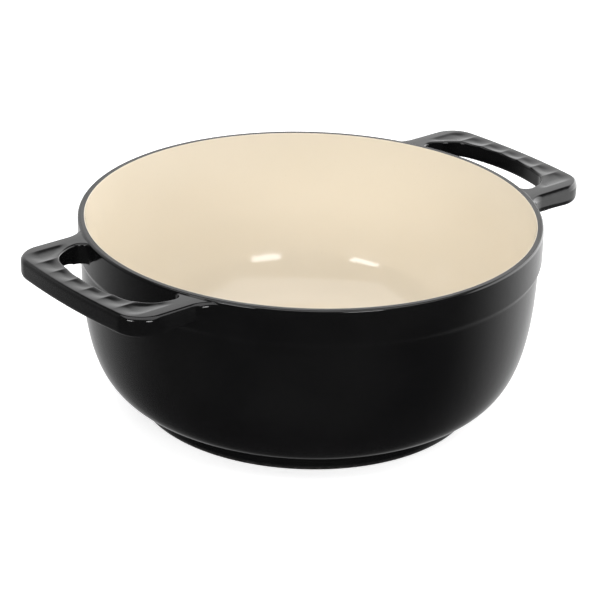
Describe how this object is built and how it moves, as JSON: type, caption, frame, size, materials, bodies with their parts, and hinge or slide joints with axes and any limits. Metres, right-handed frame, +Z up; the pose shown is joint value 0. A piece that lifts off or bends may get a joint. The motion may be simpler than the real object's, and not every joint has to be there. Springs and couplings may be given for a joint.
{
  "type": "dutch oven",
  "caption": "Round enamelled cast iron dutch oven, open, with a black outside, a cream lining, a thick collar, a foot ring and scalloped loop handles.",
  "frame": {"origin": "on the table, under the bowl's axis: the middle of the foot ring's underside", "axes": "+Z up out of the mouth; the two loop handles lie along X, one at each end; Y runs across, through the sides with no handle"},
  "size_m": [0.3176, 0.2476, 0.106],
  "materials": {
    "bare_iron": "matte",
    "black_enamel": "gloss",
    "cream_enamel": "gloss",
    "rim_enamel": "satin",
    "base_enamel": "satin"
  },
  "bodies": {
    "root": {"iron_casting": "bare_iron", "exterior_enamel": "black_enamel", "interior_enamel": "cream_enamel", "rim_enamel": "rim_enamel", "base_enamel": "base_enamel"}
  },
  "joints": []
}
